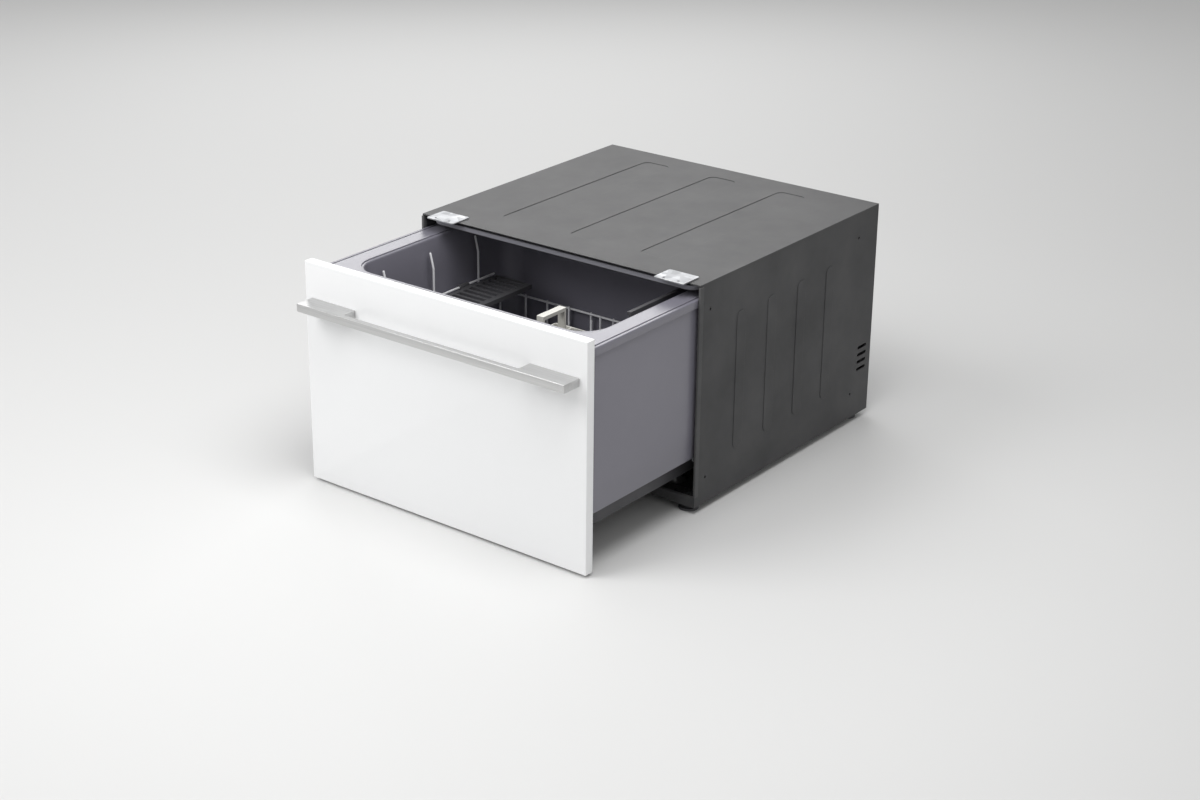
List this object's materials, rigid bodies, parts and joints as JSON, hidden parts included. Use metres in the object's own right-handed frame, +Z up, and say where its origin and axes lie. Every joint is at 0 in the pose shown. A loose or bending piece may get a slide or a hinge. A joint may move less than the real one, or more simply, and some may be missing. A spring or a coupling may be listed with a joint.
{
  "type": "dishwasher drawer",
  "caption": "Built-in dishwasher drawer standing half open: slab front with bar handle, moulded tub on telescopic runners, wire rack, cutlery basket, wash system and steel housing.",
  "frame": {"origin": "middle of the footprint on the floor, with the drawer open as in the picture", "axes": "+X to the right seen from the front, +Y into the cabinet, +Z up"},
  "size_m": [0.5996, 0.889, 0.41],
  "materials": {
    "black_sheet": "semi-gloss black enamel on folded sheet steel",
    "zinc_steel": "bright zinc-plated steel",
    "wash_steel": "stainless steel with a fine satin grain",
    "handle_steel": "brushed stainless steel, long grain",
    "front_lacquer": "satin white lacquer on a wood-based slab",
    "tub_plastic": "satin grey moulded polypropylene",
    "dark_plastic": "dark grey moulded plastic",
    "pan_plastic": "glossy black moulded tray",
    "pale_plastic": "light grey moulded plastic",
    "lid_plastic": "mid-grey moulded lid",
    "nylon": "natural nylon",
    "wire_coat": "light grey nylon-coated steel wire",
    "seal_rubber": "matt black rubber",
    "fascia_plastic": "dark satin control strip",
    "lens_black": "smoked clear lens",
    "button_plastic": "satin silver-grey buttons",
    "board_green": "green circuit board",
    "copper": "varnished copper windings",
    "red_plastic": "red switch housing"
  },
  "bodies": {
    "chassis": {"chassis_side_left": "black_sheet", "chassis_side_right": "black_sheet", "back_panel": "zinc_steel", "top_panel": "black_sheet", "base_pan": "pan_plastic", "base_front_rail": "zinc_steel", "side_trims": "seal_rubber", "levelling_feet": "dark_plastic", "housing_hardware": "zinc_steel", "runner_outers": "zinc_steel", "lid_actuators": "dark_plastic", "inlet_valve": "pale_plastic", "terminal_box": "dark_plastic", "flood_switch": "red_plastic"},
    "drawer": {"tub": "tub_plastic", "panel_bracket": "zinc_steel", "front_panel": "front_lacquer", "handle_bar": "handle_steel", "panel_screws": "zinc_steel", "runner_inners": "zinc_steel", "control_fascia": "fascia_plastic", "display_lens": "lens_black", "control_board": "board_green", "base_cover": "dark_plastic", "motor_housing": "dark_plastic", "motor_stator": "copper", "heater_coil": "wash_steel", "filter_plate": "wash_steel", "drain_pump": "dark_plastic", "dispenser_body": "pale_plastic", "rack_cross_wires": "wire_coat", "rack_long_wires": "wire_coat", "rack_rails": "wire_coat", "tine_clips": "pale_plastic", "cutlery_basket": "pale_plastic"},
    "flood_float": {"flood_float": "nylon"},
    "lid": {"lid_panel": "lid_plastic", "lid_seal": "seal_rubber", "lid_lift_racks": "nylon"},
    "lift_pinion_left": {"lift_pinion_left": "nylon"},
    "lift_pinion_right": {"lift_pinion_right": "nylon"},
    "runner_mid_left": {"runner_mid_left": "zinc_steel", "roller_cage_left": "nylon"},
    "runner_mid_right": {"runner_mid_right": "zinc_steel", "roller_cage_right": "nylon"},
    "button_power": {"button_power": "button_plastic"},
    "button_program": {"button_program": "button_plastic"},
    "button_start": {"button_start": "button_plastic"},
    "wash_rotor": {"wash_rotor": "dark_plastic"},
    "drain_filter": {"drain_filter": "dark_plastic"},
    "spray_arm": {"spray_arm": "pale_plastic"},
    "drain_impeller": {"drain_impeller": "nylon"},
    "dispenser_lid": {"dispenser_lid": "pale_plastic"},
    "rinse_cap": {"rinse_cap": "button_plastic"},
    "tine_row_left": {"tine_row_left": "wire_coat"},
    "tine_row_centre": {"tine_row_centre": "wire_coat"},
    "tine_row_right": {"tine_row_right": "wire_coat"},
    "tine_row_end": {"tine_row_end": "wire_coat"},
    "cup_shelf_left": {"cup_shelf_left": "dark_plastic"},
    "cup_shelf_right": {"cup_shelf_right": "dark_plastic"}
  },
  "joints": [
    {"name": "drawer_slide", "type": "slide", "parent": "chassis", "child": "drawer", "axis": [0, -1, 0], "range_m": [-0.276, 0.224]},
    {"name": "runner_mid_left_slide", "type": "slide", "parent": "chassis", "child": "runner_mid_left", "axis": [0, -1, 0], "range_m": [-0.138, 0.112]},
    {"name": "runner_mid_right_slide", "type": "slide", "parent": "chassis", "child": "runner_mid_right", "axis": [0, -1, 0], "range_m": [-0.138, 0.112]},
    {"name": "lid_drop", "type": "slide", "parent": "chassis", "child": "lid", "axis": [0, 0, 1], "range_m": [-0.0055, 0]},
    {"name": "lift_pinion_left_spin", "type": "hinge", "parent": "chassis", "child": "lift_pinion_left", "pos_m": [-0.205, 0.4125, 0.365], "axis": [1, 0, 0], "range_deg": [0, 42.5]},
    {"name": "lift_pinion_right_spin", "type": "hinge", "parent": "chassis", "child": "lift_pinion_right", "pos_m": [0.205, 0.4125, 0.365], "axis": [1, 0, 0], "range_deg": [0, 42.5]},
    {"name": "flood_float_rise", "type": "slide", "parent": "chassis", "child": "flood_float", "axis": [0, 0, 1], "range_m": [0, 0.008]},
    {"name": "button_power_press", "type": "slide", "parent": "drawer", "child": "button_power", "axis": [0, 0, -1], "range_m": [0, 0.0008], "stiffness_N_per_m": 400},
    {"name": "button_program_press", "type": "slide", "parent": "drawer", "child": "button_program", "axis": [0, 0, -1], "range_m": [0, 0.0008], "stiffness_N_per_m": 400},
    {"name": "button_start_press", "type": "slide", "parent": "drawer", "child": "button_start", "axis": [0, 0, -1], "range_m": [0, 0.0008], "stiffness_N_per_m": 400},
    {"name": "wash_rotor_spin", "type": "hinge", "parent": "drawer", "child": "wash_rotor", "pos_m": [0, -0.1345, 0.09], "axis": [0, 0, 1], "continuous": true},
    {"name": "spray_arm_spin", "type": "hinge", "parent": "drawer", "child": "spray_arm", "pos_m": [0, -0.1345, 0.15], "axis": [0, 0, 1], "continuous": true},
    {"name": "drain_filter_twist", "type": "hinge", "parent": "drawer", "child": "drain_filter", "pos_m": [0.062, -0.1345, 0.12], "axis": [0, 0, 1], "range_deg": [0, 90]},
    {"name": "drain_impeller_spin", "type": "hinge", "parent": "drawer", "child": "drain_impeller", "pos_m": [-0.146, -0.1345, 0.105], "axis": [0, 0, 1], "continuous": true},
    {"name": "dispenser_lid_open", "type": "hinge", "parent": "drawer", "child": "dispenser_lid", "pos_m": [-0.02, -0.3095, 0.297], "axis": [-1, 0, 0], "range_deg": [0, 100]},
    {"name": "rinse_cap_twist", "type": "hinge", "parent": "drawer", "child": "rinse_cap", "pos_m": [0.036, -0.3125, 0.325], "axis": [0, 1, 0], "range_deg": [0, 90]},
    {"name": "tine_row_left_fold", "type": "hinge", "parent": "drawer", "child": "tine_row_left", "pos_m": [-0.07, -0.1345, 0.186], "axis": [0, -1, 0], "range_deg": [0, 85]},
    {"name": "tine_row_centre_fold", "type": "hinge", "parent": "drawer", "child": "tine_row_centre", "pos_m": [0, -0.1345, 0.186], "axis": [0, -1, 0], "range_deg": [0, 85]},
    {"name": "tine_row_right_fold", "type": "hinge", "parent": "drawer", "child": "tine_row_right", "pos_m": [0.085, -0.0735, 0.186], "axis": [0, -1, 0], "range_deg": [0, 85]},
    {"name": "tine_row_end_fold", "type": "hinge", "parent": "drawer", "child": "tine_row_end", "pos_m": [0.155, -0.0735, 0.186], "axis": [0, -1, 0], "range_deg": [0, 85]},
    {"name": "cup_shelf_left_fold", "type": "hinge", "parent": "drawer", "child": "cup_shelf_left", "pos_m": [-0.2301, -0.1565, 0.28], "axis": [0, -1, 0], "range_deg": [0, 85]},
    {"name": "cup_shelf_right_lower", "type": "hinge", "parent": "drawer", "child": "cup_shelf_right", "pos_m": [0.2301, -0.0975, 0.28], "axis": [0, -1, 0], "range_deg": [0, 85]}
  ],
  "couplings": [
    {"joint": "runner_mid_left_slide", "follows": "drawer_slide", "ratio": 0.5},
    {"joint": "runner_mid_right_slide", "follows": "drawer_slide", "ratio": 0.5},
    {"joint": "lift_pinion_left_spin", "follows": "lid_drop", "rad_per_m": -133.33},
    {"joint": "lift_pinion_right_spin", "follows": "lid_drop", "rad_per_m": -133.33}
  ]
}
